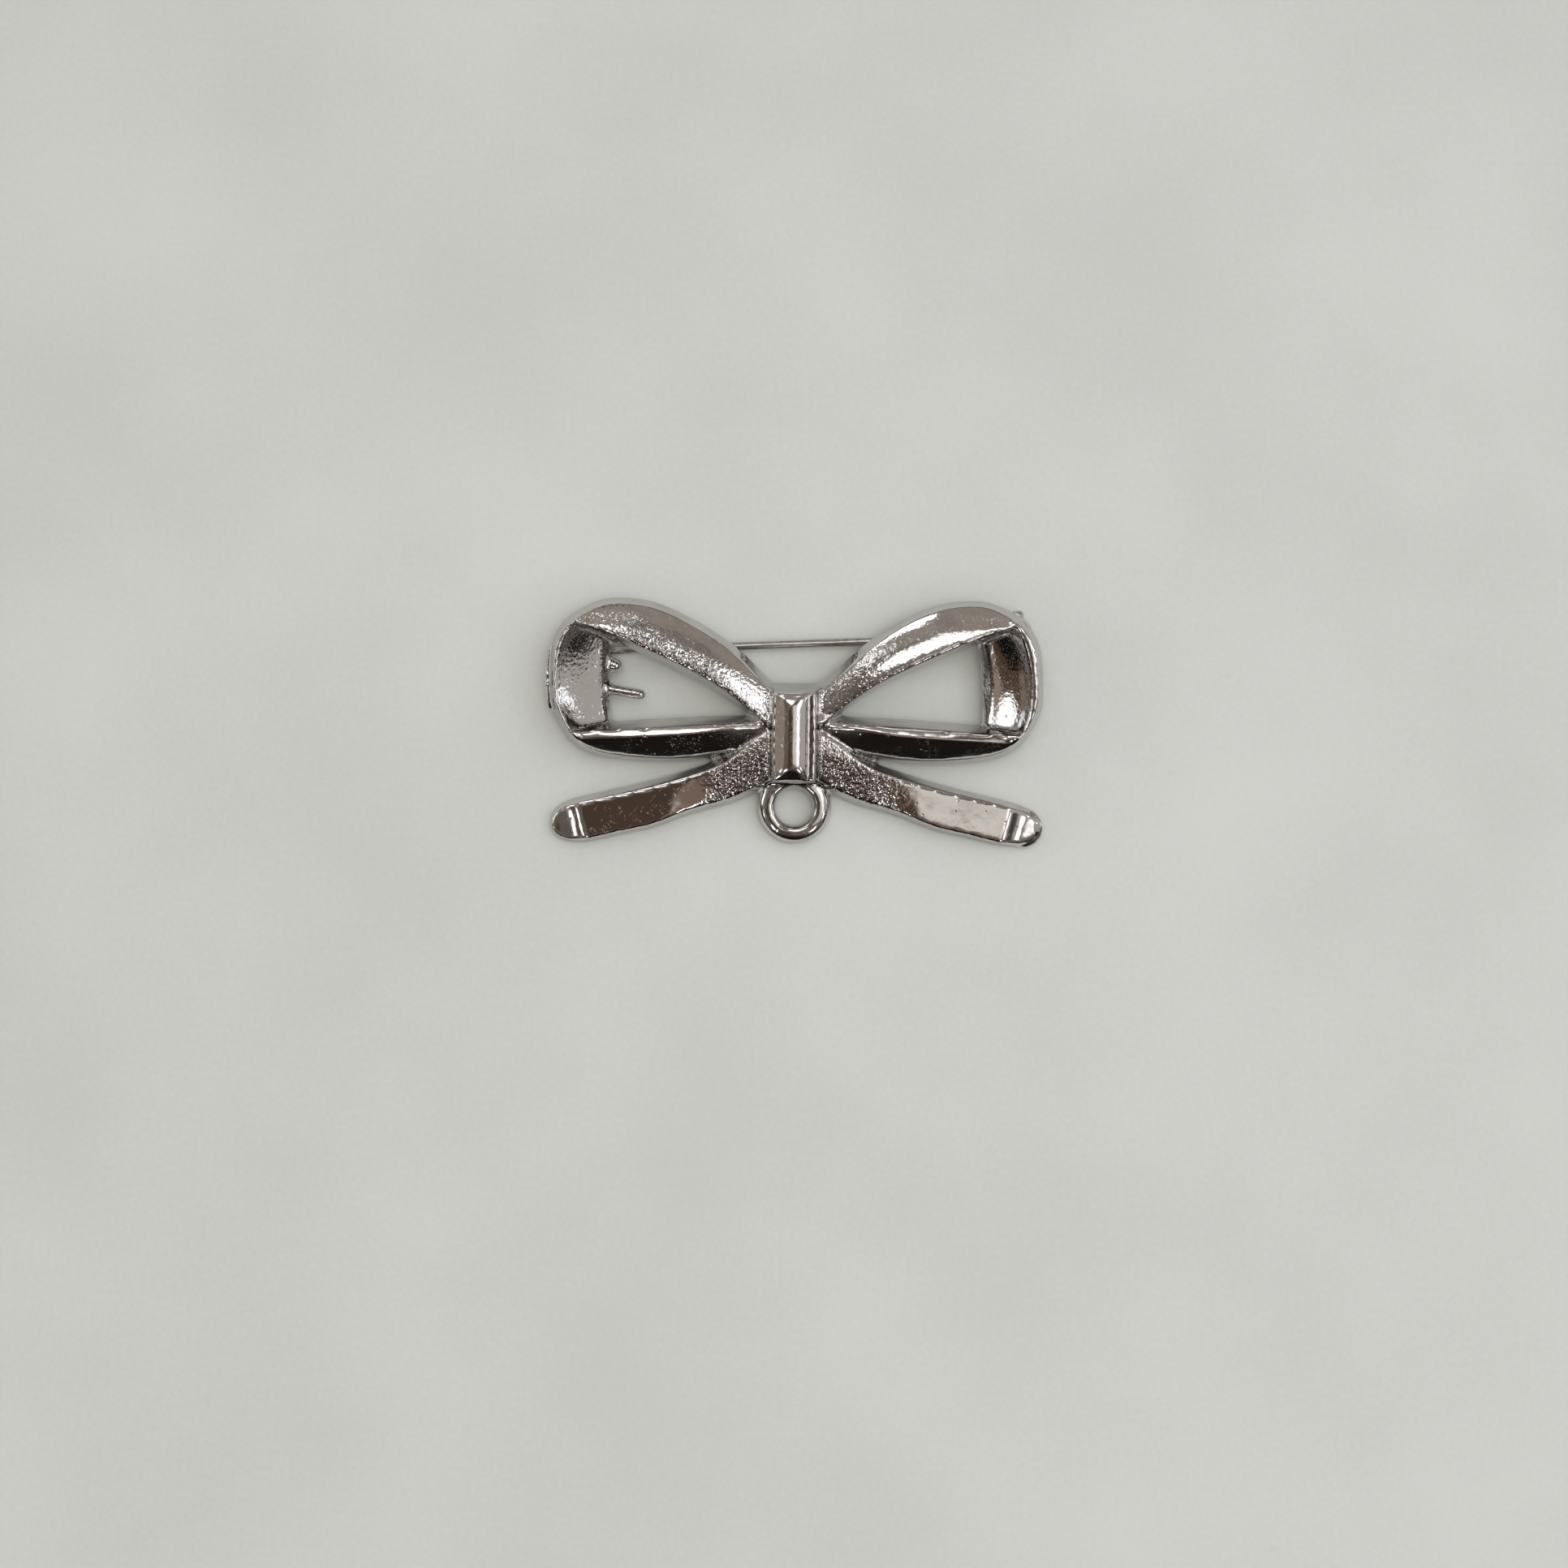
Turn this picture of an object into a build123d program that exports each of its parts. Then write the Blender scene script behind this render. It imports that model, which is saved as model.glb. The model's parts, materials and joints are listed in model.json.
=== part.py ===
from build123d import *
import math
import os

# Bow brooch: one die-cast bow with a hanging ring, a steel pin and the rivet it swings on.
# It is modelled flat, back on z = 0 and face towards +z, with x = y = 0 at the middle of
# the knot. The last section lays it on its pin, as it rests on a table.

# Driving dimensions, in millimetres and degrees
left_reach = 18.0
right_reach = 18.28
loop_rise = 9.05
loop_drop = 3.03
shoulder_droop = 0.38
shoulder_trim = 0.15
front_edge_height = 3.0
back_edge_height = 1.8
upper_crown = 0.095
lower_crown = 0.065
wall_lean = 12.0
left_upper_lean = 11.5
right_upper_lean = 9.0
lower_inner_lean = 10.5

ramp_inner_height = 0.8
ramp_hollow = 0.18
rim_land = 0.12
rim_set = 0.04
right_rim_extra = 0.45
right_lip_slant = 0.25
lip_share = 0.742
lip_bevel = 0.35

left_tail_reach = 17.87
right_tail_reach = 18.02
tail_fall = 9.0
tail_root_thickness = 2.5
tail_crease_thickness = 1.6
tail_tip_thickness = 0.9
tail_crease_setback = 2.3
tail_crease_pull = 0.7
tail_tip_pull = 2.6

knot_top = 2.95
knot_foot = 4.3
knot_height = 4.05
knot_shoulder_height = 3.35
knot_half_width = 1.55
ridge_half_width = 1.07
ridge_x = -0.13
knot_top_round = 1.15
knot_foot_set = 0.12
knot_foot_slope = 1.0
knot_foot_drop = 0.75

ring_x = 0.06
ring_knot_gap = 0.42
ring_hole_radius = 1.40
ring_outer_radius = 2.70
ring_thickness = 1.5
ring_land = 1.0
ring_edge = 0.25

wire_diameter = 0.62
pin_point_length = 3.2
pin_tip_radius = 0.05
pin_overhang = 1.6
pin_slant = 2.6
hinge_from_end = 1.88
hinge_from_top = 2.60
hinge_depth = 1.5
ear_radius = 0.85
ear_thickness = 0.95
ear_root_width = 1.7
ear_corner_cut = 0.5
rivet_diameter = 0.60
rivet_head_radius = 0.5
rivet_head_height = 0.55
rivet_head_round = 0.3
eye_clearance = 0.05
rivet_clearance = 0.01
side_clearance = 0.06
head_gap = 0.02

catch_behind_lip = 0.64
catch_length = 1.1
catch_wall = 1.05
catch_corner_radius = 0.33
catch_clearance = 0.02
stud_radius = 0.5
stud_past_lip = 0.22
stud_y = 4.0
prong_radius = 0.39
prong_behind_lip = 0.54
prong_length = 2.65
prong_y = 2.35
prong_fall = 0.42
prong_z = 0.15

scar_thickness = 0.7
loop_scar_y = 3.1
loop_scar_length = 4.8
loop_scar_bulge = 0.20
tail_scar_rise = 1.45
tail_scar_radius = 1.45
tail_scar_bulge = 0.26

# Small amounts that let one cast shape run into its neighbour, or past a cut
overlap = 0.6
beyond = 1.0

lean = math.tan(math.radians(wall_lean))
face_fall = front_edge_height - back_edge_height
ring_drop = knot_foot + ring_knot_gap + ring_hole_radius
hinge_x = right_reach - hinge_from_end
hinge_y = loop_rise - hinge_from_top
left_lip_x = -lip_share * left_reach
catch_x = left_lip_x - catch_behind_lip

# Back outline of a loop, as shares: along is of the loop's reach, and up is of loop_rise
# where it is positive and of loop_drop where it is negative. The right loop differs a
# little: droop is the share of shoulder_droop by which it hangs lower beside the knot, and
# trim the share of shoulder_trim by which its outer shoulder is narrower.
LOOP_OUTLINE = [
    # along, up, droop, trim
    (0.030, 0.200, 0.3, 0.0),
    (0.096, 0.340, 0.6, 0.0),
    (0.180, 0.506, 1.0, 0.0),
    (0.246, 0.623, 0.8, 0.0),
    (0.363, 0.776, 0.2, 0.0),
    (0.463, 0.882, 0.0, 0.0),
    (0.596, 0.978, 0.0, 0.0),
    (0.715, 1.000, 0.0, 0.0),
    (0.780, 0.986, 0.0, 0.0),
    (0.844, 0.940, 0.0, 0.3),
    (0.918, 0.852, 0.0, 0.7),
    (0.959, 0.760, 0.0, 1.0),
    (0.989, 0.640, 0.0, 1.0),
    (0.999, 0.500, 0.0, 0.8),
    (1.000, 0.320, 0.0, 0.3),
    (0.990, 0.110, 0.0, 0.0),
    (0.966, -0.020, 0.0, 0.0),
    (0.942, -0.270, 0.0, 0.0),
    (0.896, -0.590, 0.0, 0.0),
    (0.805, -0.850, 0.0, 0.0),
    (0.690, -0.950, 0.0, 0.0),
    (0.550, -1.000, 0.0, 0.0),
    (0.400, -0.945, 0.0, 0.0),
    (0.315, -0.870, 0.0, 0.0),
    (0.255, -0.800, 0.0, 0.0),
    (0.094, -0.400, 0.0, 0.0),
    (0.030, -0.300, 0.0, 0.0),
]

# Sections of the upper strand. front and back are the places of its front edge and of the
# outline, as shares of loop_rise. edge is the height of the front edge, as a share of
# front_edge_height. heel is how far the outline's side rises from back_edge_height (0)
# towards front_edge_height (1).
UPPER_STRAND = [
    # along, front, back, edge, heel
    (0.010, -0.130, 0.16, 0.82, 0.45),
    (0.096, -0.014, 0.34, 0.87, 0.40),
    (0.246, 0.213, 0.62, 0.95, 0.25),
    (0.463, 0.460, 0.88, 1.00, 0.05),
    (0.596, 0.580, 0.98, 1.00, 0.00),
    (0.729, 0.695, 1.00, 1.00, 0.00),
    (0.800, 0.745, 0.98, 1.00, 0.20),
    (0.850, 0.774, 0.93, 1.00, 0.60),
    (0.885, 0.790, 0.89, 1.00, 0.93),
    (0.980, 0.830, 0.89, 1.00, 1.00),
]

# Sections of the lower strand. front and back are shares of loop_drop, measured down.
LOWER_STRAND = [
    # along, front, back, edge, heel
    (0.010, -0.050, 0.34, 0.75, 0.25),
    (0.110, -0.040, 0.45, 0.80, 0.20),
    (0.259, 0.000, 0.79, 0.93, 0.10),
    (0.400, 0.050, 0.95, 1.00, 0.00),
    (0.550, 0.105, 1.00, 1.00, 0.00),
    (0.700, 0.165, 0.96, 1.00, 0.00),
    (0.800, 0.205, 0.85, 1.00, 0.20),
    (0.860, 0.228, 0.70, 1.00, 0.60),
    (0.905, 0.228, 0.55, 1.00, 0.93),
    (0.990, 0.160, 0.50, 1.00, 1.00),
]

# Sections of the ramp, the inside of the ribbon at the loop's end. level is a share of
# loop_rise; crest and inner are shares of the loop's reach, and lip is what is added to
# lip_share. On the right loop the rim is wider by the share wide of right_rim_extra, and
# the ramp's inner end and lip stand nearer to the knot by the share slant of
# right_lip_slant.
RAMP = [
    # level, crest, inner, lip, wide, slant
    (0.830, 0.880, 0.765, -0.004, 0.8, 1.0),
    (0.660, 0.938, 0.772, -0.002, 0.9, 0.9),
    (0.500, 0.962, 0.782, 0.000, 1.0, 0.4),
    (0.330, 0.970, 0.787, 0.000, 0.9, 0.0),
    (0.170, 0.962, 0.785, 0.000, 0.6, -0.2),
    (0.030, 0.937, 0.772, -0.002, 0.0, -0.5),
    (-0.130, 0.895, 0.750, -0.007, 0.0, -1.0),
]

# Middle line of a tail, as shares of tail_fall: where it leaves the knot and how far it falls
TAIL_LINE_ROOT = 0.17
TAIL_LINE_FALL = 0.50

# Back outline of a tail: along is a share of the tail's reach, down of tail_fall.
TAIL_OUTLINE = [
    # along, down
    (0.020, -0.030),
    (0.180, 0.095),
    (0.318, 0.302),
    (0.400, 0.366),
    (0.590, 0.483),
    (0.790, 0.580),
    (0.920, 0.650),
    (0.966, 0.697),
    (0.993, 0.765),
    (1.000, 0.860),
    (0.985, 0.930),
    (0.945, 0.978),
    (0.885, 0.998),
    (0.825, 0.988),
    (0.715, 0.935),
    (0.580, 0.878),
    (0.420, 0.760),
    (0.250, 0.665),
    (0.120, 0.545),
    (0.020, 0.440),
]


def moved_inward(points, distance):
    """The open outline's points, each moved by the distance to its left-hand side."""
    inner = []
    for i, (x, y) in enumerate(points):
        before = points[max(i - 1, 0)]
        after = points[min(i + 1, len(points) - 1)]
        run = (after[0] - before[0], after[1] - before[1])
        length = math.hypot(*run)
        inner.append((x - distance * run[1] / length, y + distance * run[0] / length))
    return inner


def drafted_prism(points, height):
    """A cast silhouette: the outline at the back, drawn in towards the face by the lean."""
    wires = []
    for level in (0, height):
        edge = [Vector(x, y, level) for x, y in moved_inward(points, level * lean)]
        wires.append(Wire([Spline(*edge), Line(edge[-1], edge[0])]))
    return Solid.make_loft(wires, ruled=True)


def anticlockwise(side, points):
    """Mirrors the right-hand points to a side and keeps the inside on their left."""
    placed = [(side * x, y) for x, y in points]
    return placed if side < 0 else placed[::-1]


def mirrored_section(side, x, profile):
    """A closed section across a strand, from its (y, z) corners and the face's pull point."""
    foot, front, pull, back, back_foot = [Vector(side * x, y, z) for y, z in profile]
    return Wire([
        Line(foot, front),
        Bezier(front, pull, back),
        Line(back, back_foot),
        Line(back_foot, foot),
    ])


def strand(side, reach, rows, unit, outward, crown, inner_lean):
    """A ribbon strand, its crowned face sloping from the front edge down to the outline."""
    sections = []
    for along, front, back, edge, heel in rows:
        top = front_edge_height * edge
        low = back_edge_height + heel * face_fall
        front_y = outward * front * unit
        back_y = outward * (back * unit - low * lean)
        width = outward * (back_y - front_y)
        swell = 4 * crown * (1 - heel)
        start_slope = swell - (top - low) / width
        far = width + overlap
        far_y = front_y + outward * far
        far_z = top + start_slope * far - swell * far**2 / max(width, overlap)
        pull = (front_y + outward * far / 2, top + start_slope * far / 2)
        foot_y = front_y - outward * top * math.tan(math.radians(inner_lean))
        profile = [(foot_y, 0), (front_y, top), pull, (far_y, far_z), (far_y, 0)]
        sections.append(mirrored_section(side, along * reach, profile))
    return Solid.make_loft(sections)


def ramp(side, reach, rim_extra, lip_slant):
    """The hollow slope at the loop's end, from its crest at the rim down to the lip."""
    sections = []
    rim_height = front_edge_height - rim_set
    fall = rim_height - ramp_inner_height
    for level, crest, inner, lip, wide, slant in RAMP:
        y = level * loop_rise
        crest_x = crest * reach - rim_land - wide * rim_extra
        inner_x = inner * reach - slant * lip_slant
        lip_x = (lip_share + lip) * reach - slant * lip_slant
        far_x = reach + beyond
        run = crest_x - inner_x
        chord = math.hypot(run, fall)
        mid_x = (crest_x + inner_x) / 2 + ramp_hollow * fall / chord
        mid_z = (rim_height + ramp_inner_height) / 2 - ramp_hollow * run / chord

        def at(x, z):
            return Vector(side * x, y, z)

        rim = at(crest_x, rim_height)
        inner_end = at(inner_x, ramp_inner_height)
        lip_top = at(inner_x - lip_bevel, ramp_inner_height - lip_bevel)
        sections.append(Wire([
            Line(at(far_x, 0), at(far_x, rim_height)),
            Line(at(far_x, rim_height), rim),
            ThreePointArc(rim, at(mid_x, mid_z), inner_end),
            Line(inner_end, lip_top),
            Line(lip_top, at(lip_x, 0)),
            Line(at(lip_x, 0), at(far_x, 0)),
        ]))
    return Solid.make_loft(sections)


def loop(side, reach, upper_lean, droop=0, trim=0, rim_extra=0, lip_slant=0):
    """One open ribbon loop: two strands and the ramp, inside one drafted silhouette."""
    points = []
    for along, up, droop_share, trim_share in LOOP_OUTLINE:
        y = up * loop_rise if up > 0 else up * loop_drop
        points.append((along * reach - trim_share * trim, y - droop_share * droop))
    silhouette = drafted_prism(anticlockwise(side, points), front_edge_height + beyond)
    upper = strand(side, reach, UPPER_STRAND, loop_rise, 1, upper_crown, upper_lean)
    lower = strand(side, reach, LOWER_STRAND, loop_drop, -1, lower_crown, lower_inner_lean)
    end = ramp(side, reach, rim_extra, lip_slant)
    return [silhouette & piece for piece in (upper, end, lower)]


def tail(side, reach):
    """One ribbon end, thinner towards its crease and hollow from there to its tip."""
    points = [(along * reach, -down * tail_fall) for along, down in TAIL_OUTLINE]
    silhouette = drafted_prism(anticlockwise(side, points), tail_root_thickness + beyond)
    fall = math.degrees(math.atan2(TAIL_LINE_FALL * tail_fall, reach))
    far = reach / math.cos(math.radians(fall)) + beyond
    crease = far - beyond - tail_crease_setback
    roof_slope = (tail_crease_thickness - tail_root_thickness) / crease
    profile = Wire([
        Line((0, -beyond), (0, tail_root_thickness)),
        Line((0, tail_root_thickness), (crease, tail_crease_thickness)),
        Bezier(
            (crease, tail_crease_thickness),
            (crease + tail_crease_pull, tail_crease_thickness + tail_crease_pull * roof_slope),
            (far - tail_tip_pull, tail_tip_thickness),
            (far, tail_tip_thickness),
        ),
        Line((far, tail_tip_thickness), (far, -beyond)),
        Line((far, -beyond), (0, -beyond)),
    ])
    along_tail = Plane(
        origin=(0, -TAIL_LINE_ROOT * tail_fall, 0),
        x_dir=(side * math.cos(math.radians(fall)), -math.sin(math.radians(fall)), 0),
        z_dir=(-math.sin(math.radians(fall)), -side * math.cos(math.radians(fall)), 0),
    )
    roof = extrude(along_tail * Face(profile), amount=tail_fall, both=True)
    return silhouette & roof


def knot():
    """The band round the middle: a rounded ridge between two flat shoulders."""
    foot_x = knot_half_width + knot_shoulder_height * lean
    ridge_left = ridge_x - ridge_half_width
    ridge_right = ridge_x + ridge_half_width
    across = Wire([
        Line((-foot_x, 0), (-knot_half_width, knot_shoulder_height)),
        Line((-knot_half_width, knot_shoulder_height), (ridge_left, knot_shoulder_height)),
        ThreePointArc(
            (ridge_left, knot_shoulder_height),
            (ridge_x, knot_height),
            (ridge_right, knot_shoulder_height),
        ),
        Line((ridge_right, knot_shoulder_height), (knot_half_width, knot_shoulder_height)),
        Line((knot_half_width, knot_shoulder_height), (foot_x, 0)),
        Line((foot_x, 0), (-foot_x, 0)),
    ])
    top_y = knot_top - (knot_height - knot_top_round) * lean
    round_mid = knot_top_round * (1 - math.sqrt(0.5))
    foot_z = knot_height - knot_foot_drop
    foot_y = -knot_foot + knot_foot_set
    lengthwise = Wire([
        Line((-knot_foot, 0), (foot_y, foot_z)),
        Line((foot_y, foot_z), (foot_y + knot_foot_slope, knot_height)),
        Line((foot_y + knot_foot_slope, knot_height), (top_y - knot_top_round, knot_height)),
        ThreePointArc(
            (top_y - knot_top_round, knot_height),
            (top_y - round_mid, knot_height - round_mid),
            (top_y, knot_height - knot_top_round),
        ),
        Line((top_y, knot_height - knot_top_round), (knot_top, 0)),
        Line((knot_top, 0), (-knot_foot, 0)),
    ])
    band = extrude(Plane.XZ * Face(across), amount=2 * knot_foot, both=True)
    side_view = extrude(Plane.YZ * Face(lengthwise), amount=2 * knot_half_width, both=True)
    return band & side_view


def hanging_ring():
    """The fixed ring below the knot, domed, with a short straight land in its hole."""
    crown_radius = (ring_hole_radius + ring_outer_radius) / 2
    land = (ring_hole_radius, ring_land)
    edge = (ring_outer_radius, ring_edge)
    profile = Wire([
        Line((ring_hole_radius, 0), land),
        Spline(land, (crown_radius, ring_thickness), edge, tangents=[(0, 1), (0, -1)]),
        Line(edge, (ring_outer_radius, 0)),
        Line((ring_outer_radius, 0), (ring_hole_radius, 0)),
    ])
    ring = revolve(Plane.XZ * Face(profile), axis=Axis.Z)
    return Pos(ring_x, -ring_drop, 0) * ring


def on_mechanism(shape):
    """Turns what is drawn along the pin to the pin's slant, about the hinge."""
    return Pos(hinge_x, hinge_y, -hinge_depth) * Rot(0, 0, pin_slant) * shape


eye_gap = wire_diameter / 2 + side_clearance
ear_outer = eye_gap + ear_thickness
bore_radius = rivet_diameter / 2 + rivet_clearance
eye_mid_radius = rivet_diameter / 2 + eye_clearance + wire_diameter / 2


def ear(side):
    """One hinge ear, a rounded tongue on the back of the right loop, bored for the rivet."""
    root = ear_root_width / 2
    top = hinge_depth + ramp_inner_height / 2
    corners = [(root, top), (-root, top), (-ear_radius, 0), (ear_radius, 0)]
    tongue = Polygon(*corners, align=None) + Circle(ear_radius) - Circle(bore_radius)
    solid = extrude(Plane.XZ * tongue, amount=ear_thickness)
    if side < 0:
        return on_mechanism(Pos(0, -eye_gap, 0) * solid)
    # the outer ear's corner is cut off along the loop's shoulder
    width = ear_corner_cut * math.sqrt(2)
    corner = Pos(ear_radius, 0, 0) * Rot(0, 0, 45) * Box(width, width, 4 * top)
    return on_mechanism(Pos(0, ear_outer, 0) * (solid - corner))


def catch():
    """The snap catch: a block with a slot for the wire, a stud beside it and a long prong."""
    along = Vector(math.cos(math.radians(pin_slant)), math.sin(math.radians(pin_slant)), 0)
    reach = (catch_x - hinge_x) / along.X
    seat_y = hinge_y + reach * along.Y
    half_slot = wire_diameter / 2 + catch_clearance
    half_width = half_slot + catch_wall
    depth = catch_depth(seat_y - half_width)
    top = ramp_inner_height / 2
    block = Box(catch_length, 2 * half_width, depth + top, align=(Align.CENTER, Align.CENTER, Align.MAX))
    block = fillet(block.edges().filter_by(Axis.Z), radius=catch_corner_radius)
    slot_height = depth - hinge_depth + wire_diameter / 2 + catch_clearance
    slot = Pos(0, 0, -depth - top) * Box(
        2 * catch_length, 2 * half_slot, slot_height, align=(Align.CENTER, Align.CENTER, Align.MIN)
    )
    placed = Pos(catch_x, seat_y, top) * Rot(0, 0, pin_slant) * (block - slot)
    stud_length = depth - stud_radius
    stud_x = left_lip_x + stud_past_lip
    stud = Pos(stud_x, stud_y, -stud_length) * extrude(Circle(stud_radius), amount=stud_length)
    stud_ends = [Pos(stud_x, stud_y, z) * Sphere(stud_radius) for z in (0, -stud_length)]
    root = Vector(left_lip_x - prong_behind_lip, prong_y, prong_z)
    run = Vector(prong_length, -prong_fall, 0)
    prong = Plane(origin=root, z_dir=run) * extrude(Circle(prong_radius), amount=run.length)
    prong_end = Pos(root + run) * Sphere(prong_radius)
    return [placed, stud, *stud_ends, prong, prong_end]


def catch_depth(lowest_y):
    """How far the catch stands behind the back, to touch the table with the tails and ears."""
    return (tail_fall + lowest_y) * math.tan(math.radians(rest_tilt))


def gate_scars():
    """Thin crescents on the left loop and the right tail, where the casting left its gates."""
    half = loop_scar_length / 2
    radius = (half**2 + loop_scar_bulge**2) / (2 * loop_scar_bulge)
    disc = Pos(-left_reach - loop_scar_bulge + radius, loop_scar_y) * Circle(radius)
    keep = Pos(-left_reach, loop_scar_y) * Rectangle(2 * overlap, loop_scar_length)
    tip_x = right_tail_reach + tail_scar_bulge - tail_scar_radius
    tip = Pos(tip_x, tail_scar_rise - tail_fall) * Circle(tail_scar_radius)
    return [extrude(face, amount=scar_thickness) for face in (disc & keep, tip)]


def bow_casting():
    """Everything that is cast in one shot, as one solid."""
    right_only = (shoulder_droop, shoulder_trim, right_rim_extra, right_lip_slant)
    pieces = [
        *loop(-1, left_reach, left_upper_lean),
        *loop(1, right_reach, right_upper_lean, *right_only),
        tail(-1, left_tail_reach),
        tail(1, right_tail_reach),
        hanging_ring(),
        ear(1),
        ear(-1),
        *catch(),
        *gate_scars(),
    ]
    body = knot()
    for piece in pieces:
        body = body + piece
    return body


def pin_stem():
    """The steel pin: an eye round the rivet, a straight wire and a ground point."""
    radius = wire_diameter / 2
    eye = Rot(90, 0, 0) * Torus(eye_mid_radius, radius)
    tip = (catch_x - hinge_x) / math.cos(math.radians(pin_slant)) - pin_overhang
    straight = -tip - pin_point_length - eye_mid_radius
    wire = Plane(origin=(-eye_mid_radius, 0, 0), z_dir=(-1, 0, 0)) * extrude(Circle(radius), amount=straight)
    point = Plane(origin=(tip + pin_point_length, 0, 0), z_dir=(-1, 0, 0)) * Cone(
        radius, pin_tip_radius, pin_point_length, align=(Align.CENTER, Align.CENTER, Align.MIN)
    )
    return on_mechanism(eye + wire + point)


def hinge_rivet():
    """The rivet through both ears, closed by a low rounded head at each end."""
    start = ear_outer + head_gap
    rivet = Cylinder(rivet_diameter / 2, 2 * start)
    head = Cylinder(rivet_head_radius, rivet_head_height, align=(Align.CENTER, Align.CENTER, Align.MIN))
    head = fillet(head.edges().sort_by(Axis.Z)[-1], radius=rivet_head_round)
    rivet = rivet + Pos(0, 0, start) * head + Rot(180, 0, 0) * Pos(0, 0, start) * head
    return on_mechanism(Rot(90, 0, 0) * rivet)


# The brooch rests on the backs of its tails and on its hinge ears, so its upper edge is raised
lowest_ear_y = hinge_y - ear_outer * math.cos(math.radians(pin_slant))
rest_tilt = math.degrees(math.atan2(hinge_depth + ear_radius, tail_fall + lowest_ear_y))

shapes = {
    "bow_casting": bow_casting(),
    "pin_stem": pin_stem(),
    "hinge_rivet": hinge_rivet(),
}
resting = {name: Rot(rest_tilt, 0, 0) * shape for name, shape in shapes.items()}
box = Compound(list(resting.values())).bounding_box()
to_origin = Pos(-(box.min.X + box.max.X) / 2, -(box.min.Y + box.max.Y) / 2, -box.min.Z)

os.makedirs("parts", exist_ok=True)
for name, shape in resting.items():
    export_step(to_origin * shape, f"parts/{name}.step")
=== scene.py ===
import json
import math

import bmesh
import bpy
from mathutils import Matrix, Vector


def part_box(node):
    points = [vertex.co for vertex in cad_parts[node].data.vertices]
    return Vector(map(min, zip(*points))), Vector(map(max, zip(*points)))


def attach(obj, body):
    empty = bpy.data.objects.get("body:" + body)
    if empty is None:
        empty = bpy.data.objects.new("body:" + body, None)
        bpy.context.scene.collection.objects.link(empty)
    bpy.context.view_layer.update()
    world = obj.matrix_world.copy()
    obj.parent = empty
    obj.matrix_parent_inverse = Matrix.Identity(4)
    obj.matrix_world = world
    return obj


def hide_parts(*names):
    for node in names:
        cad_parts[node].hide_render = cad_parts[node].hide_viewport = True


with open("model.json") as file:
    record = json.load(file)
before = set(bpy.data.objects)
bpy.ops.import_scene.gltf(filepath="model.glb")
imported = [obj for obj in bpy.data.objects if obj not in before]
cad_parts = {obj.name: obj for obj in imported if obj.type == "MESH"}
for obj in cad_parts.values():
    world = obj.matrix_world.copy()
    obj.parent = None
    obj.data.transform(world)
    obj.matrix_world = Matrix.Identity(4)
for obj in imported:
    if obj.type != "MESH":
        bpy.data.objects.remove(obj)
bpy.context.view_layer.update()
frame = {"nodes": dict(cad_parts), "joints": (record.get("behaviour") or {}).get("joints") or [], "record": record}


# The camera looks down on the bow's face from about twenty centimetres.
# Places on the bow are given in millimetres on its own flat back: x towards the hinge,
# y towards the loops, z out of the face, from the middle of the knot.
RING_FROM_KNOT = Vector((0.06, -6.12, 0.5))
CAMERA_PLACE = (-0.75, 8.0, 200.0)
CAMERA_AIM = (-0.70, -4.53, 0.0)
CAMERA_LENS = 62.7
BOW_TURN = math.radians(0.6)

ring_mount = next(m for m in frame["record"]["mounts"] if m["name"] == "ring_hole")
face_out = Vector(ring_mount["axis"]).normalized()
to_hinge = Vector((1, 0, 0))
to_loops = face_out.cross(to_hinge)
bow_axes = Matrix((to_hinge, to_loops, face_out)).transposed()
knot_place = Vector(ring_mount["pos_m"]) - bow_axes @ RING_FROM_KNOT * 0.001


def on_bow(x, y, z):
    """A place given on the bow, in the frame that all the pieces share."""
    return knot_place + bow_axes @ Vector((x, y, z)) * 0.001


camera = bpy.data.objects.new("camera", bpy.data.cameras.new("camera"))
bpy.context.scene.collection.objects.link(camera)
bpy.context.scene.camera = camera
camera.data.lens = CAMERA_LENS
camera.data.sensor_width = 36.0
camera.data.clip_start = 0.01
backward = (on_bow(*CAMERA_PLACE) - on_bow(*CAMERA_AIM)).normalized()
rightward = bow_axes @ Vector((math.cos(BOW_TURN), math.sin(BOW_TURN), 0))
rightward = (rightward - backward * rightward.dot(backward)).normalized()
upward = backward.cross(rightward)
camera_turn = Matrix((rightward, upward, backward)).transposed().to_4x4()
camera.matrix_world = Matrix.Translation(on_bow(*CAMERA_PLACE)) @ camera_turn


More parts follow.
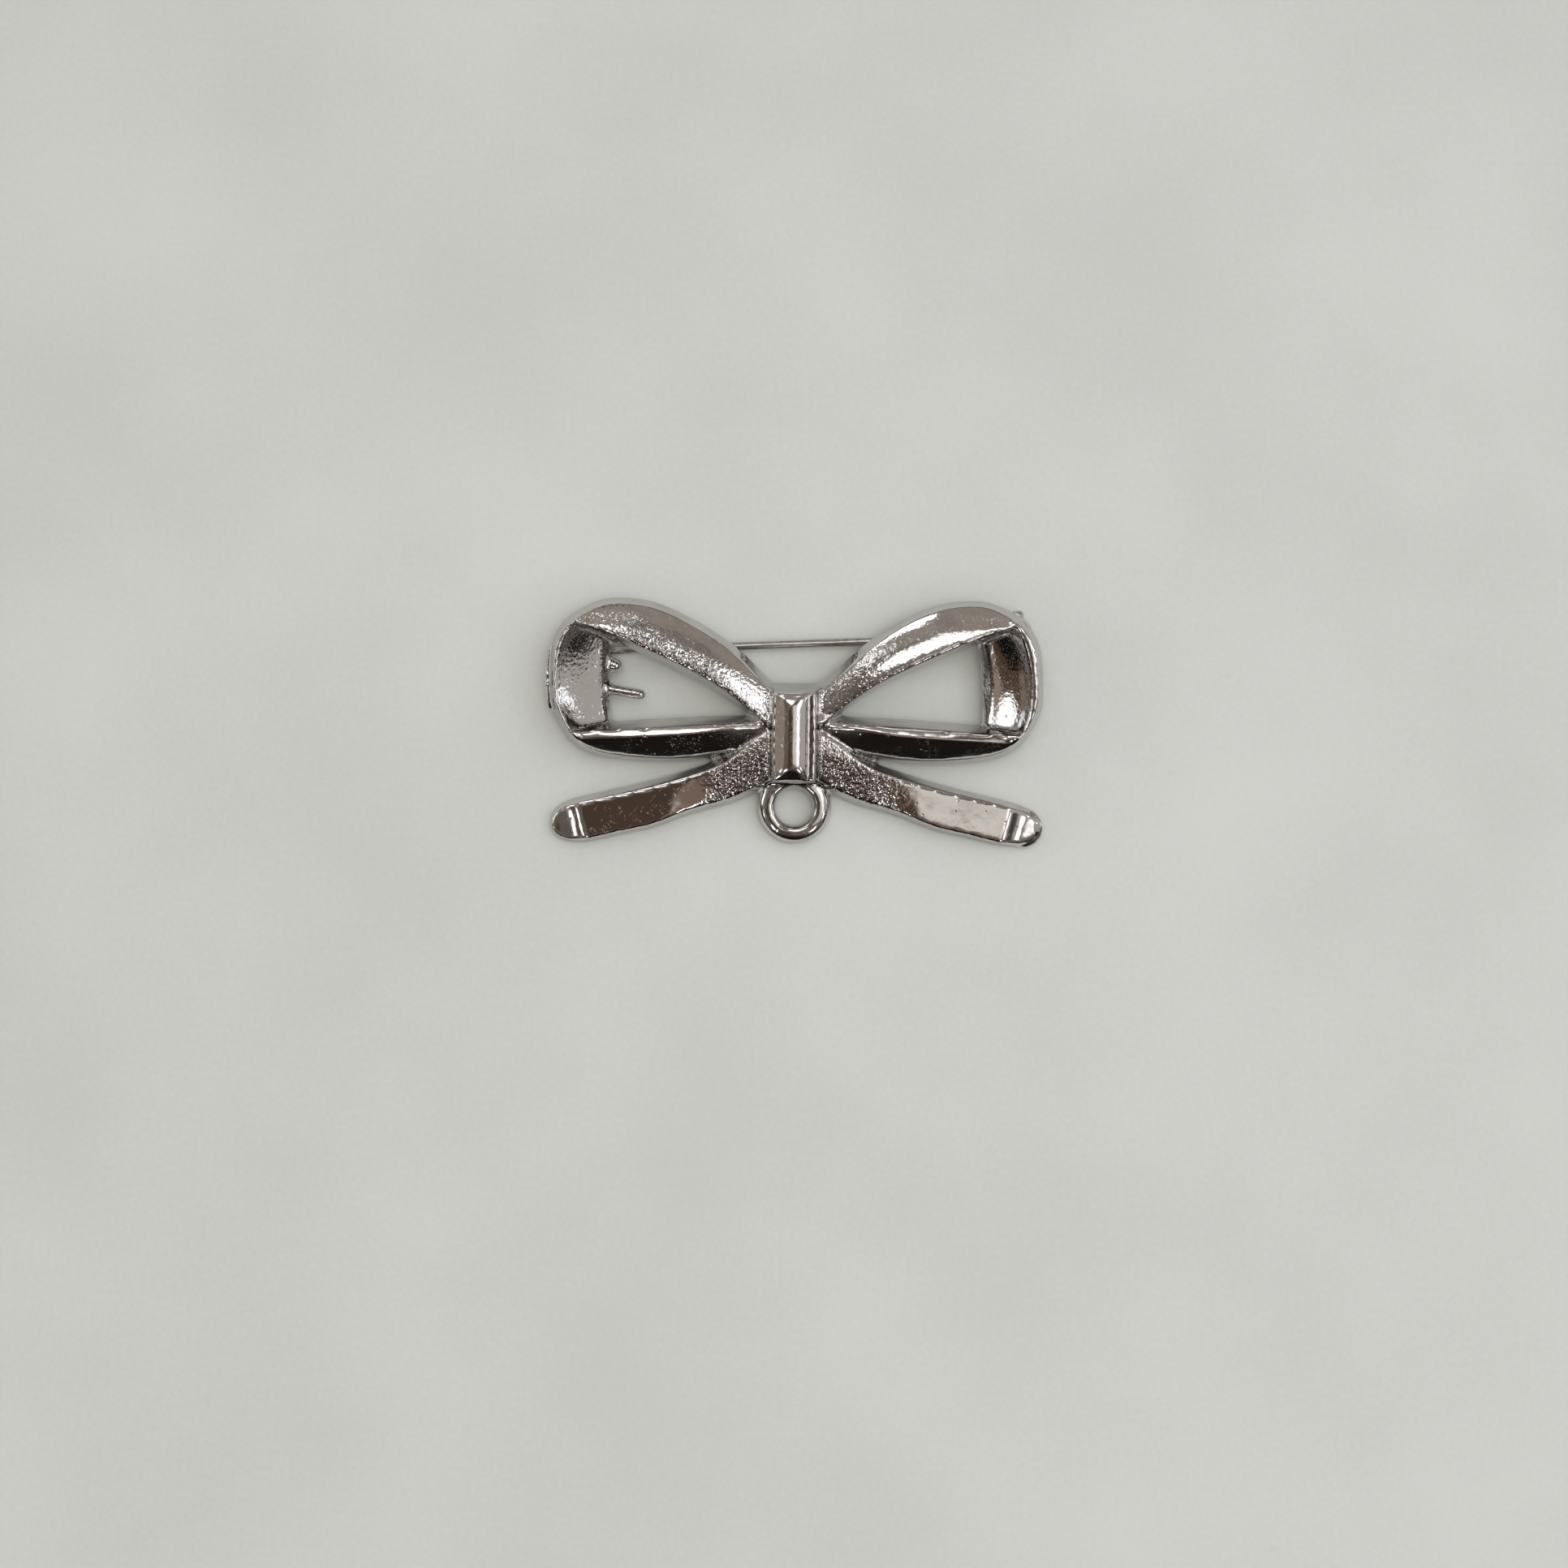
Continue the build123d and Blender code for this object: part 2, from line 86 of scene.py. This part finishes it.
# The studio: a pale, fine-grained table top, two large soft lamps over it, and a room that
# is pale on the right, brown on the left and dark in front, which the plating mirrors.
class Signal:
    """A shader socket that takes part in sums. node() adds any other kind of node."""

    def __init__(self, tree, socket=None):
        self.tree = tree
        self.socket = socket

    def node(self, kind, settings, inputs, output=0):
        made = self.tree.nodes.new("ShaderNode" + kind)
        for name, value in settings.items():
            if name == "stops":
                ramp = made.color_ramp.elements
                while len(ramp) < len(value):
                    ramp.new(1.0)
                for stop, (place, colour) in zip(ramp, value):
                    stop.position = place
                    stop.color = (*colour, 1.0)
            else:
                setattr(made, name, value)
        for name, value in inputs.items():
            if isinstance(value, Signal):
                self.tree.links.new(value.socket, made.inputs[name])
            else:
                made.inputs[name].default_value = value
        return Signal(self.tree, made.outputs[output])

    def math(self, operation, *terms):
        return self.node("Math", {"operation": operation}, dict(enumerate(terms)))

    def __add__(self, other):
        return self.math("ADD", self, other)

    def __sub__(self, other):
        return self.math("SUBTRACT", self, other)

    def __rsub__(self, other):
        return self.math("SUBTRACT", other, self)

    def __mul__(self, other):
        return self.math("MULTIPLY", self, other)

    __radd__ = __add__
    __rmul__ = __mul__

    def between(self, low, high):
        """0 below low, 1 above high, and a smooth rise from one to the other."""
        inputs = {"Value": self, "From Min": low, "From Max": high}
        return self.node("MapRange", {"interpolation_type": "SMOOTHSTEP"}, inputs)

    def tint(self, first, second):
        """The first colour where this is 0 and the second where it is 1."""
        colours = [c if isinstance(c, Signal) else (*c, 1.0) for c in (first, second)]
        settings = {"data_type": "RGBA"}
        return self.node("Mix", settings, {"Factor": self, 6: colours[0], 7: colours[1]}, 2)


# Each patch of the room: how many degrees it lies to the right of straight up and how many
# behind it, its radius and soft edge in degrees, and its colour. Later ones cover earlier ones.
ROOM_COLOUR = (0.31, 0.27, 0.235)
ROOM_PATCHES = [
    (0, -90, 2, 82, (0.010, 0.009, 0.008)),
    (64, -2, 20, 12, (0.46, 0.43, 0.40)),
    (17, 32, 5, 9, (0.20, 0.178, 0.16)),
    (-16, 10, 9, 12, (0.14, 0.122, 0.107)),
    (-26, 0, 6, 9, (0.14, 0.122, 0.11)),
    (-27, -20, 8, 10, (0.14, 0.118, 0.10)),
    (0, -38, 7, 11, (0.092, 0.066, 0.067)),
    (-2, -60, 9, 9, (0.013, 0.010, 0.008)),
    (-70, -10, 16, 8, (0.085, 0.050, 0.031)),
    (-50, -9, 6, 5, (0.30, 0.245, 0.20)),
    (-88, -5, 7, 5, (0.32, 0.25, 0.20)),
    (-70, -30, 9, 3, (0.006, 0.006, 0.006)),
    (68, -30, 9, 4, (0.008, 0.008, 0.008)),
    (-29, 31, 4, 7, (1.5, 1.5, 1.5)),
    (-5, 13, 8, 5, (2.0, 1.95, 1.9)),
    (11, 4, 6, 6, (0.11, 0.103, 0.098)),
    (0, -4, 4, 4, (0.22, 0.20, 0.19)),
    (-9, -18, 8, 4, (0.078, 0.050, 0.034)),
    (15, -12, 9, 5, (0.78, 0.75, 0.68)),
    (7, -26, 6, 5, (0.22, 0.155, 0.12)),
    (25, -11, 5, 4, (1.6, 1.6, 1.62)),
    (31, 4, 8, 7, (1.9, 1.93, 2.0)),
    (8, 49, 3, 4, (1.4, 1.4, 1.4)),
    (-27, 56, 6, 5, (2.6, 2.65, 2.75)),
    (-63, 7, 9, 4, (1.7, 1.7, 1.7)),
    (-85, 15, 5, 4, (1.4, 1.4, 1.4)),
    (76, 9, 4, 4, (1.6, 1.65, 1.7)),
    (-48, -24, 2, 4, (2.2, 2.2, 2.2)),
    (38, -22, 2, 4, (2.4, 2.4, 2.4)),
    (60, -26, 6, 5, (0.07, 0.065, 0.06)),
    (-21, -37, 2, 4, (5.0, 5.0, 5.0)),
    (21, -37, 2, 4, (4.0, 4.0, 4.0)),
]
SKIRTING_COLOUR = (0.012, 0.010, 0.009)


def toward(right, behind):
    """The direction this many degrees to the right of straight up and behind it."""
    turn = math.radians(math.hypot(right, behind))
    return Vector((right, behind, 0)).normalized() * math.sin(turn) + Vector((0, 0, math.cos(turn)))


world = bpy.data.worlds.new("room")
bpy.context.scene.world = world
world.use_nodes = True
world.node_tree.nodes.clear()
room = Signal(world.node_tree)
direction = room.node("TexCoord", {}, {}, "Generated")
colour = room.node("RGB", {}, {})
colour.socket.default_value = (*ROOM_COLOUR, 1.0)
for right, behind, radius, edge, patch_colour in ROOM_PATCHES:
    aim = toward(right, behind)
    along = room.node("VectorMath", {"operation": "DOT_PRODUCT"}, {0: direction, 1: aim}, "Value")
    low = math.cos(math.radians(radius + edge))
    colour = along.between(low, math.cos(math.radians(radius))).tint(colour, patch_colour)
height = room.node("SeparateXYZ", {}, {"Vector": direction}, "Z")
colour = height.between(0.04, 0.18).tint(SKIRTING_COLOUR, colour)
background = room.node("Background", {}, {"Color": colour, "Strength": 1.0})
surface = world.node_tree.nodes.new("ShaderNodeOutputWorld")
world.node_tree.links.new(background.socket, surface.inputs["Surface"])
bpy.context.scene.view_settings.view_transform = "Standard"

# Each lamp: its place, its width, its power in watts and its colour
LAMPS = {
    "lamp_above": ((0.03, -0.05, 0.60), 0.30, 1.20, (1.0, 0.95, 0.80)),
    "softbox_right": ((0.15, 0.0, 0.50), 0.90, 1.95, (0.95, 1.0, 1.12)),
}
for name, (lamp_place, width, power, lamp_colour) in LAMPS.items():
    lamp = bpy.data.objects.new(name, bpy.data.lights.new(name, "AREA"))
    bpy.context.scene.collection.objects.link(lamp)
    lamp.data.shape = "DISK"
    lamp.data.size = width
    lamp.data.energy = power
    lamp.data.color = lamp_colour
    facing = Vector(lamp_place).to_track_quat("Z", "Y").to_matrix().to_4x4()
    lamp.matrix_world = Matrix.Translation(lamp_place) @ facing
    lamp.visible_glossy = False


def kept(piece, shape):
    """Writes a bmesh into a piece's mesh, smooth all over, and lets the bmesh go."""
    for face in shape.faces:
        face.smooth = True
    shape.to_mesh(piece.data)
    shape.free()
    return piece


def piece_of(name, shape):
    """A new piece whose place is in its mesh."""
    piece = bpy.data.objects.new(name, bpy.data.meshes.new(name))
    bpy.context.scene.collection.objects.link(piece)
    return kept(piece, shape)


def finish_of(name):
    """A new material with an empty tree, its signal, and what it is finished with."""
    material = bpy.data.materials.new(name)
    material.use_nodes = True
    material.node_tree.nodes.clear()
    return material, Signal(material.node_tree)


def shown(material, skin, inputs):
    """Ends a material's tree with its shader."""
    shader = skin.node("BsdfPrincipled", {}, inputs)
    end = material.node_tree.nodes.new("ShaderNodeOutputMaterial")
    material.node_tree.links.new(shader.socket, end.inputs["Surface"])


TABLE_HALF = 0.5
shape = bmesh.new()
bmesh.ops.create_grid(shape, x_segments=1, y_segments=1, size=TABLE_HALF)
table = piece_of("table_top", shape)
slab, stone = finish_of("pale_table_top")
place = stone.node("TexCoord", {}, {}, "Object")
cloud = stone.node("TexNoise", {}, {"Vector": place, "Scale": 45.0, "Detail": 3.0}, "Fac")
grain = stone.node("TexNoise", {}, {"Vector": place, "Scale": 2600.0, "Detail": 1.0}, "Fac")
shade = (cloud * 0.7 + grain * 0.3).between(0.25, 0.75)
shown(slab, stone, {
    "Base Color": shade.tint((0.462, 0.472, 0.450), (0.522, 0.532, 0.510)),
    "Roughness": grain.between(0.2, 0.8) * 0.1 + 0.5,
})
table.data.materials.append(slab)


# The bow with its ring, ears and catch: one die casting of zinc alloy, tumbled and plated
# bright. Its skin is lumpy like orange peel near the knot and smoother further out, finely
# pitted, scratched by handling and a little dulled in the hollows.
# All in millimetres, from the middle of the knot; pairs are where a change starts and ends.
SKIN_STEP = 0.135
SKIN_PASSES = 9
WELD = 0.0005
KNOT_HALF = 1.55
KNOT_WALL = (1.45, 1.75)
LOOPS_START = (0.0, 0.8)
KNOT_DIP = 0.40
KNOT_DIP_START = 1.5
KNOT_DIP_REACH = 5.0
TAIL_TWIST = math.tan(math.radians(13))
TAIL_TWIST_END = (5.0, 9.5)
TAIL_TOP = -1.6
TAIL_TOP_FALL = 0.24
SHOULDER_SWELL = 0.24
SHOULDER_PLACE = Vector((-12.4, 7.2))
SHOULDER_SPREAD = 2.6
FACE_HEIGHT = 2.4
RING_HEIGHT = 1.5
RING_ROUND = (2.8, 3.8)
RIDGE_PLACE = -0.13
RIDGE_HALF = 1.07
RIDGE_FOOT = 3.35
RIDGE_SHARE = 0.6
RIDGE_PASSES = 12
EDGE_START = 4.6
EDGE_FALL = 0.063
EDGE_LEAN = 0.6
EDGE_WIDTHS = (0.25, 0.60)
EDGE_WIDENS = (3.5, 8.0)
EDGE_ENDS = ((1.9, 3.2), (15.2, 16.2))
EDGE_BEHIND = (0.05, 0.3)
VALLEY_LEAN = 0.24
VALLEY_DEPTH = 0.6
casting = bpy.data.objects.new("plated_bow", frame["nodes"]["bow_casting"].data.copy())
bpy.context.scene.collection.objects.link(casting)
casting.data.materials.clear()
shape = bmesh.new()
shape.from_mesh(casting.data)
bmesh.ops.scale(shape, vec=(1000, 1000, 1000), verts=shape.verts)
bmesh.ops.remove_doubles(shape, verts=shape.verts, dist=WELD)
kept(casting, shape)
remesh = casting.modifiers.new("cast_skin", "REMESH")
remesh.mode = "VOXEL"
remesh.voxel_size = SKIN_STEP
tumbled = casting.modifiers.new("tumbled_edges", "SMOOTH")
tumbled.factor = 0.5
tumbled.iterations = SKIN_PASSES
seen = casting.evaluated_get(bpy.context.evaluated_depsgraph_get())
skin_mesh = bpy.data.meshes.new_from_object(seen)
casting.modifiers.clear()
casting.data = skin_mesh
shape = bmesh.new()
shape.from_mesh(casting.data)
bmesh.ops.scale(shape, vec=(0.001, 0.001, 0.001), verts=shape.verts)


def clamped(value):
    """The value, held between 0 and 1."""
    return min(max(value, 0.0), 1.0)


def eased(value, low, high):
    """0 below low, 1 above high, and a smooth rise from one to the other."""
    share = clamped((value - low) / (high - low))
    return share * share * (3 - 2 * share)


# How lumpy the skin is on each part of the bow, from 0 to 1, and where each part lies
LEFT_STRAND_LUMPS = 0.65
RIGHT_STRAND_LUMPS = (0.70, 0.10)
RIGHT_STRAND_CALMS = (3.0, 8.0)
LEFT_NEAR_KNOT = (2.5, 4.5)
LEFT_SHOULDER = (10.5, 12.0)
LEFT_FRONT = (2.0, 3.0)
RAMP_LUMPS = (0.32, 0.12)
RAMP_START = (9.5, 10.5)
RAMP_TOP = (4.9, 6.3)
STRAND_ROOT = Vector((1.7, 0.2))
STRAND_RISE = 0.52
TAIL_FALL = 0.43
TAIL_EDGE = 0.15
TAIL_CALMS = (5.4, 7.4)
RIGHT_TAIL_FURTHER = 1.4


def lumps_at(spot, upward):
    """How lumpy the skin is at a place, where upward is how far it faces up."""
    away = abs(spot.x)
    right = eased(spot.x, -1.0, 1.0)
    front = spot.y - STRAND_ROOT.y - STRAND_RISE * (away - STRAND_ROOT.x)
    near_knot = 1 - eased(away, *LEFT_NEAR_KNOT)
    in_front = 1 - eased(front, *LEFT_FRONT)
    left_strand = LEFT_STRAND_LUMPS * max(near_knot, in_front, eased(away, *LEFT_SHOULDER))
    most, least = RIGHT_STRAND_LUMPS
    right_strand = most - (most - least) * eased(away, *RIGHT_STRAND_CALMS)
    strand = right_strand * right + left_strand * (1 - right)
    in_loop = eased(away, *RAMP_START) * (1 - eased(spot.y, *RAMP_TOP))
    ramp = RAMP_LUMPS[0] * (1 - right) + RAMP_LUMPS[1] * right
    above = ramp * in_loop + strand * (1 - in_loop)
    on_tail = 1 - eased(spot.y + away * TAIL_FALL, -TAIL_EDGE, TAIL_EDGE)
    tail = on_tail * (1 - eased(away - RIGHT_TAIL_FURTHER * right, *TAIL_CALMS))
    upper = eased(spot.y, 0.0, 0.5)
    off_ring = eased((spot.xy - RING_FROM_KNOT.xy).length, 2.6, 3.3)
    off_knot = eased(away, 1.45, 1.9)
    facing = eased(upward, 0.4, 0.75)
    return (above * upper + tail * (1 - upper)) * facing * off_ring * off_knot


def lower(vert, depth):
    """Moves a point of the skin this many millimetres towards the back."""
    vert.co -= face_out * depth * 0.001


# The face sinks towards the knot on the upper strands, twists down on the tails and swells
# at the left shoulder. The lower strands' front edges and the knot's ridge are worn down.
lumps = shape.verts.layers.float.new("lumps")
ridge = []
for vert in shape.verts:
    spot = bow_axes.transposed() @ (vert.co - knot_place) * 1000
    vert[lumps] = lumps_at(spot, vert.normal.dot(face_out))
    away = abs(spot.x)
    above = eased(spot.y, *LOOPS_START)
    near = max(1 - (away - KNOT_DIP_START) / KNOT_DIP_REACH, 0.0)
    swell_away = (spot.xy - SHOULDER_PLACE).length / SHOULDER_SPREAD
    sink = KNOT_DIP * near**2 * above - SHOULDER_SWELL * math.exp(-swell_away * swell_away)
    below_top = max(TAIL_TOP - TAIL_TOP_FALL * away - spot.y, 0.0)
    twist = TAIL_TWIST * below_top * (1 - eased(away, *TAIL_TWIST_END)) * (1 - above)
    whole = clamped(spot.z / FACE_HEIGHT)
    over_ring = clamped((spot.z - RING_HEIGHT) / (FACE_HEIGHT - RING_HEIGHT))
    outside = eased((spot.xy - RING_FROM_KNOT.xy).length, *RING_ROUND)
    share = whole * outside + over_ring * (1 - outside)
    lower(vert, eased(away, *KNOT_WALL) * share * (sink + twist))

    front = -EDGE_FALL * max(away - EDGE_START, 0.0)
    narrow, wide = EDGE_WIDTHS
    width = narrow + (wide - narrow) * eased(away, *EDGE_WIDENS)
    on_lower = eased(away, *EDGE_ENDS[0]) * (1 - eased(away, *EDGE_ENDS[1]))
    on_lower *= 1 - eased(spot.y - front, *EDGE_BEHIND)
    lower(vert, EDGE_LEAN * max(width - max(front - spot.y, 0.0), 0.0) * on_lower * whole)

    if spot.x > RIDGE_PLACE + RIDGE_HALF and away < KNOT_HALF:
        near_top = eased(spot.z, RIDGE_FOOT - VALLEY_DEPTH, RIDGE_FOOT)
        lower(vert, VALLEY_LEAN * (KNOT_HALF - spot.x) * near_top)
    if abs(spot.x - RIDGE_PLACE) < RIDGE_HALF and spot.z > RIDGE_FOOT - 0.1:
        lower(vert, (1 - RIDGE_SHARE) * max(spot.z - RIDGE_FOOT, 0.0))
        ridge.append(vert)
every_way = {"use_axis_x": True, "use_axis_y": True, "use_axis_z": True}
for _ in range(RIDGE_PASSES):
    bmesh.ops.smooth_vert(shape, verts=ridge, factor=0.5, **every_way)
kept(casting, shape)
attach(casting, "bow")
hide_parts("bow_casting")


def placed_on_bow(skin):
    """Object coordinates turned to the bow's own back, in millimetres from the knot."""
    turn = bow_axes.transposed()
    return skin.node("Mapping", {"vector_type": "POINT"}, {
        "Vector": skin.node("TexCoord", {}, {}, "Object"),
        "Location": turn @ knot_place * -1000,
        "Rotation": turn.to_euler(),
        "Scale": (1000, 1000, 1000),
    })


def noise(skin, place, size, detail=2.0, stretch=None):
    """Noise whose features are about this many millimetres, longer by stretch along x, y, z."""
    if stretch:
        place = skin.node("Mapping", {}, {"Vector": place, "Scale": [1 / s for s in stretch]})
    return skin.node("TexNoise", {}, {"Vector": place, "Scale": 1 / size, "Detail": detail}, "Fac")


PLATE_BRIGHT = (0.72, 0.705, 0.70)
PLATE_DULL = (0.52, 0.48, 0.47)
plating, skin = finish_of("bright_plate")
place = placed_on_bow(skin)
lumpy = skin.node("Attribute", {"attribute_name": "lumps"}, {}, "Fac")
peel = noise(skin, place, 0.24, 1.0) * (lumpy * 0.97 + 0.03)
swell = noise(skin, place, 1.4, 1.5)
pits = skin.node("TexVoronoi", {"feature": "F1"}, {"Vector": place, "Scale": 1.3}, "Distance")
pit_depth = 1 - pits.between(0.05, 0.16)
scratches = 0.0
for angle in (35, -50):
    turned = skin.node("Mapping", {}, {"Vector": place, "Rotation": (0, 0, math.radians(angle))})
    lines = noise(skin, turned, 0.05, 1.0, stretch=(30.0, 1.0, 1.0)).between(0.68, 0.72)
    scratches = lines * noise(skin, turned, 1.8, 1.0).between(0.5, 0.6) + scratches
height = peel * 2.3 + swell * 0.9 - pit_depth * 0.3 - scratches * 0.1
bump = skin.node("Bump", {}, {"Height": height, "Distance": 0.00003, "Strength": 1.0})
dull = noise(skin, place, 2.2, 3.0).between(0.45, 0.75) * 0.6
shown(plating, skin, {
    "Base Color": dull.tint(PLATE_BRIGHT, PLATE_DULL),
    "Metallic": 1.0,
    "Specular Tint": (0.78, 0.77, 0.76, 1.0),
    "Roughness": dull * 0.06 + 0.08,
    "Normal": bump,
})
casting.data.materials.append(plating)


# The pin: one hard steel wire, bent into a nearly closed eye round the rivet and ground to
# a point. It is drawn, so it is streaked along its length, and it has no plating.
WIRE_RADIUS = 0.31
EYE_RADIUS = 0.66
NECK_RADIUS = 0.50
EYE_START = math.radians(-130)
cloth_mount = next(m for m in frame["record"]["mounts"] if m["name"] == "pin_through_cloth")
pin_run = -Vector(cloth_mount["axis"])
swing = frame["joints"][0]
rivet_run = -Vector(swing["axis"])
mechanism = Matrix((pin_run, rivet_run, pin_run.cross(rivet_run))).transposed().to_4x4()
mechanism = Matrix.Translation(Vector(swing["pos_m"])) @ mechanism @ Matrix.Scale(0.001, 4)
neck_x = -math.sqrt((EYE_RADIUS + NECK_RADIUS) ** 2 - NECK_RADIUS**2)
neck_angle = math.atan2(NECK_RADIUS, neck_x)
POINT_LENGTH = 3.2
POINT_SHAPE = [(0.30, 0.86), (0.60, 0.62), (0.85, 0.36), (0.97, 0.20)]

shape = bmesh.new()
end = Matrix.Rotation(-EYE_START, 4, "Y") @ Matrix.Translation((EYE_RADIUS, 0, 0))
bmesh.ops.create_circle(shape, segments=24, radius=WIRE_RADIUS, matrix=end)


def bent(shape, ring, centre, axis, angle, steps):
    """Bends the wire on from its last ring of edges, and gives the new last ring."""
    turned = bmesh.ops.spin(shape, geom=ring, cent=centre, axis=axis, angle=angle, steps=steps)
    return turned["geom_last"]


ring = shape.edges[:] + shape.verts[:]
ring = bent(shape, ring, (0, 0, 0), (0, -1, 0), neck_angle - EYE_START, 44)
ring = bent(shape, ring, (neck_x, 0, NECK_RADIUS), (0, 1, 0), neck_angle - math.radians(90), 8)
tip_x = min((mechanism.inverted() @ Vector(corner)).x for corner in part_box("pin_stem"))


def drawn_to(shape, ring, x_place, scale):
    """Draws the wire straight on to a place along the pin, and thins its end."""
    edges = [e for e in ring if isinstance(e, bmesh.types.BMEdge)]
    grown = bmesh.ops.extrude_edge_only(shape, edges=edges)["geom"]
    verts = [v for v in grown if isinstance(v, bmesh.types.BMVert)]
    centre = sum((v.co for v in verts), Vector()) / len(verts)
    bmesh.ops.translate(shape, verts=verts, vec=(x_place - centre.x, 0, 0))
    about = Matrix.Translation((-x_place, 0, -centre.z))
    bmesh.ops.scale(shape, verts=verts, vec=(1, scale, scale), space=about)
    return [g for g in grown if not isinstance(g, bmesh.types.BMFace)]


ring = drawn_to(shape, ring, tip_x + POINT_LENGTH, 1.0)
thickness = 1.0
for share, width in POINT_SHAPE:
    ring = drawn_to(shape, ring, tip_x + POINT_LENGTH * (1 - share), width / thickness)
    thickness = width
open_ends = [e for e in shape.edges if e.is_boundary]
bmesh.ops.holes_fill(shape, edges=open_ends, sides=0)
rims = [e for e in shape.edges if any(len(f.verts) > 4 for f in e.link_faces)]
bmesh.ops.bevel(shape, geom=rims, offset=0.04, affect="EDGES", segments=3, profile=0.5, material=-1)
bmesh.ops.recalc_face_normals(shape, faces=shape.faces)
bmesh.ops.transform(shape, matrix=mechanism, verts=shape.verts)
pin = piece_of("pin_wire", shape)
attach(pin, "pin")
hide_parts("pin_stem")

drawn_steel, steel = finish_of("drawn_steel")
turn = mechanism.to_3x3().normalized().transposed()
along_wire = steel.node("Mapping", {"vector_type": "POINT"}, {
    "Vector": steel.node("TexCoord", {}, {}, "Object"),
    "Rotation": turn.to_euler(),
    "Scale": (1000, 1000, 1000),
})
streak = noise(steel, along_wire, 0.06, 2.0, stretch=(30.0, 1.0, 1.0))
spot = noise(steel, along_wire, 0.5, 3.0).between(0.5, 0.8)
shown(drawn_steel, steel, {
    "Base Color": spot.tint((0.60, 0.59, 0.58), (0.42, 0.40, 0.38)),
    "Metallic": 1.0,
    "Roughness": streak * 0.15 + 0.17,
    "Normal": steel.node("Bump", {}, {"Height": streak, "Distance": 0.000006, "Strength": 1.0}),
})
pin.data.materials.append(drawn_steel)


# The rivet: a short piece of the same steel, pushed through both ears and headed over.
rivet = frame["nodes"]["hinge_rivet"]
rivet_steel, steel = finish_of("headed_steel")
place = placed_on_bow(steel)
hammered = noise(steel, place, 0.18, 2.0)
shown(rivet_steel, steel, {
    "Base Color": hammered.between(0.3, 0.8).tint((0.66, 0.65, 0.64), (0.48, 0.46, 0.44)),
    "Metallic": 1.0,
    "Roughness": hammered * 0.2 + 0.15,
    "Normal": steel.node("Bump", {}, {"Height": hammered, "Distance": 0.00002, "Strength": 0.6}),
})
for slot in rivet.material_slots:
    slot.material = rivet_steel
